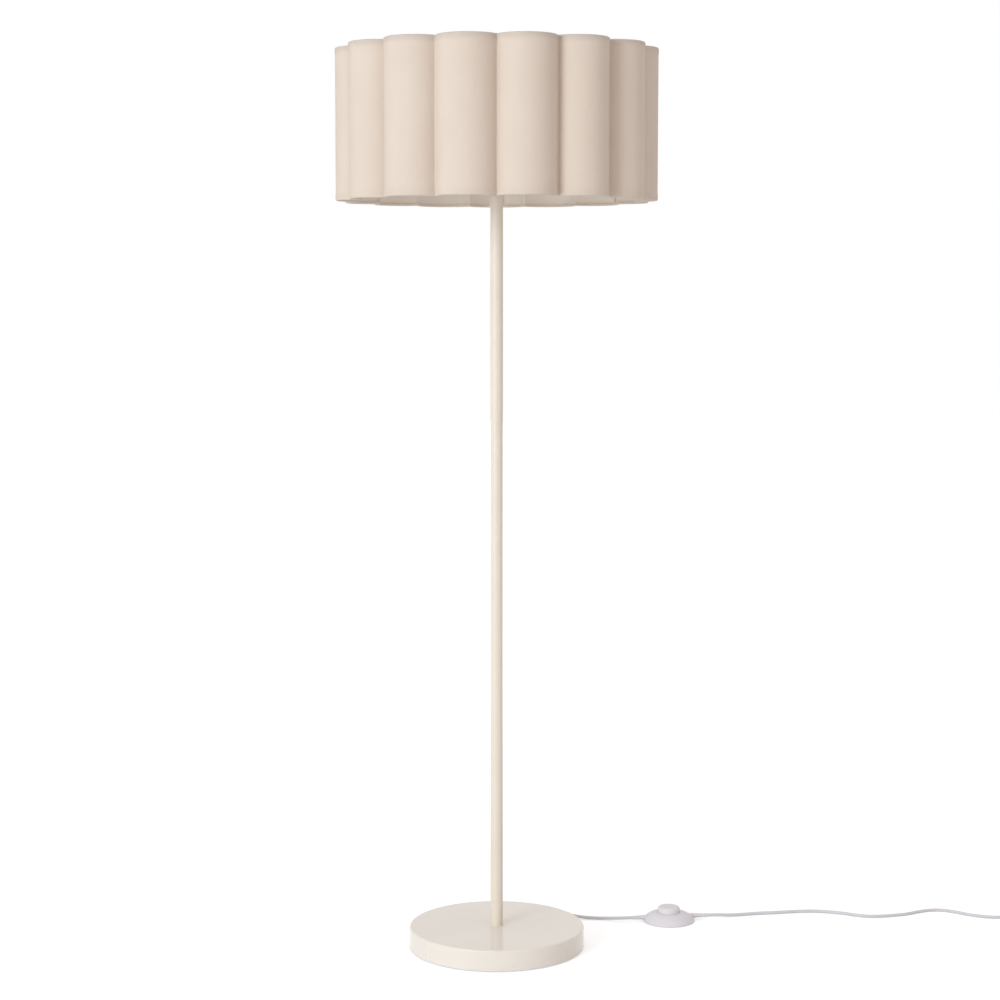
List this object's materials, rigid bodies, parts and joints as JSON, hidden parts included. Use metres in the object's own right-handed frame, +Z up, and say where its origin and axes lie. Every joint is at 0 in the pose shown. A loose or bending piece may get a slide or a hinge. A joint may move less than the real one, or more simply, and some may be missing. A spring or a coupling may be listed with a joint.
{
  "type": "floor lamp",
  "caption": "Floor lamp with a scalloped drum shade on a slim pole, a round weighted base, and a cord with a foot switch.",
  "frame": {"origin": "on the floor, under the pole's axis, at the centre of the base's felt", "axes": "+Z up along the pole, -Y towards the viewer, +X towards the cord, switch and plug"},
  "size_m": [1.1963, 0.4966, 1.42],
  "materials": {
    "painted_steel": "satin warm white powder coat",
    "cast_iron": "raw casting",
    "zinc_steel": "zinc plated",
    "felt": "pressed felt",
    "rubber_pad": "soft foam rubber",
    "white_holder": "fine moulded",
    "white_ceramic": "glazed",
    "brass": "plain",
    "solder_tip": "solder",
    "black_insulator": "moulded",
    "bulb_plastic": "moulded",
    "opal_globe": "opal diffuser",
    "linen": "plain fine weave",
    "liner": "smooth white laminate",
    "hem_tape": "folded tape in the shade's fabric",
    "white_wire": "white dipped wire",
    "white_cord": "soft moulded",
    "switch_plastic": "fine satin moulded",
    "spring_steel": "drawn wire",
    "plug_nickel": "nickel plated"
  },
  "bodies": {
    "stand": {"base_cover": "painted_steel", "base_weight": "cast_iron", "base_plate": "zinc_steel", "base_felt": "felt", "base_screws": "zinc_steel", "clamp_washer": "zinc_steel", "clamp_nut": "zinc_steel", "base_nipple": "zinc_steel", "cable_saddle": "white_holder", "saddle_screws": "zinc_steel", "pole_foot_bush": "zinc_steel", "pole_lower": "painted_steel", "pole_joiner_lower": "zinc_steel", "pole_middle": "painted_steel", "pole_joiner_upper": "zinc_steel", "pole_upper": "painted_steel", "pole_top_bush": "zinc_steel", "pole_collar": "painted_steel", "holder_nipple": "zinc_steel", "holder_lock_nut": "zinc_steel", "holder_cap": "white_holder", "holder_skirt": "white_holder", "holder_insert": "white_ceramic", "thread_shell": "brass", "centre_contact": "brass", "ring_nut": "white_holder", "inner_cable": "white_cord", "cord_gland": "white_cord", "cord_lamp": "white_cord", "switch_cover": "switch_plastic", "switch_base": "switch_plastic", "switch_pad": "rubber_pad", "switch_screws": "zinc_steel", "switch_block": "switch_plastic", "switch_terminals": "brass", "switch_spring": "spring_steel", "switch_leads": "white_cord", "switch_relief_lamp": "white_cord", "switch_relief_plug": "white_cord", "cord_floor": "white_cord", "cord_coil": "white_cord", "coil_tie": "white_cord", "cord_tail": "white_cord", "plug_relief": "white_cord", "plug_body": "white_cord", "plug_pins": "plug_nickel"},
    "shade": {"shade_fabric": "linen", "shade_liner": "liner", "shade_wire_bottom": "white_wire", "shade_wire_top": "white_wire", "hem_bottom": "hem_tape", "hem_top": "hem_tape", "spider_ring": "white_wire", "spider_arms": "white_wire"},
    "bulb_tip": {"bulb_contact": "solder_tip"},
    "bulb": {"bulb_insulator": "black_insulator", "bulb_cap": "zinc_steel", "bulb_housing": "bulb_plastic", "bulb_globe": "opal_globe"},
    "foot_button": {"switch_button": "switch_plastic"}
  },
  "joints": [
    {"name": "shade_turn", "type": "hinge", "parent": "stand", "child": "shade", "pos_m": [0, 0, 1.2263], "axis": [0, 0, 1], "continuous": true},
    {"name": "bulb_rise", "type": "slide", "parent": "stand", "child": "bulb_tip", "axis": [0, 0, 1], "range_m": [0, 0.01815]},
    {"name": "bulb_turn", "type": "hinge", "parent": "bulb_tip", "child": "bulb", "pos_m": [0, 0, 1.26], "axis": [0, 0, 1], "range_deg": [0, 1800]},
    {"name": "button_press", "type": "slide", "parent": "stand", "child": "foot_button", "axis": [0, 0, -1], "range_m": [0, 0.003], "stiffness_N_per_m": 600, "deforming": ["switch_spring"]}
  ],
  "couplings": [
    {"joint": "bulb_rise", "follows": "bulb_turn", "m_per_rad": 0.00057773}
  ]
}
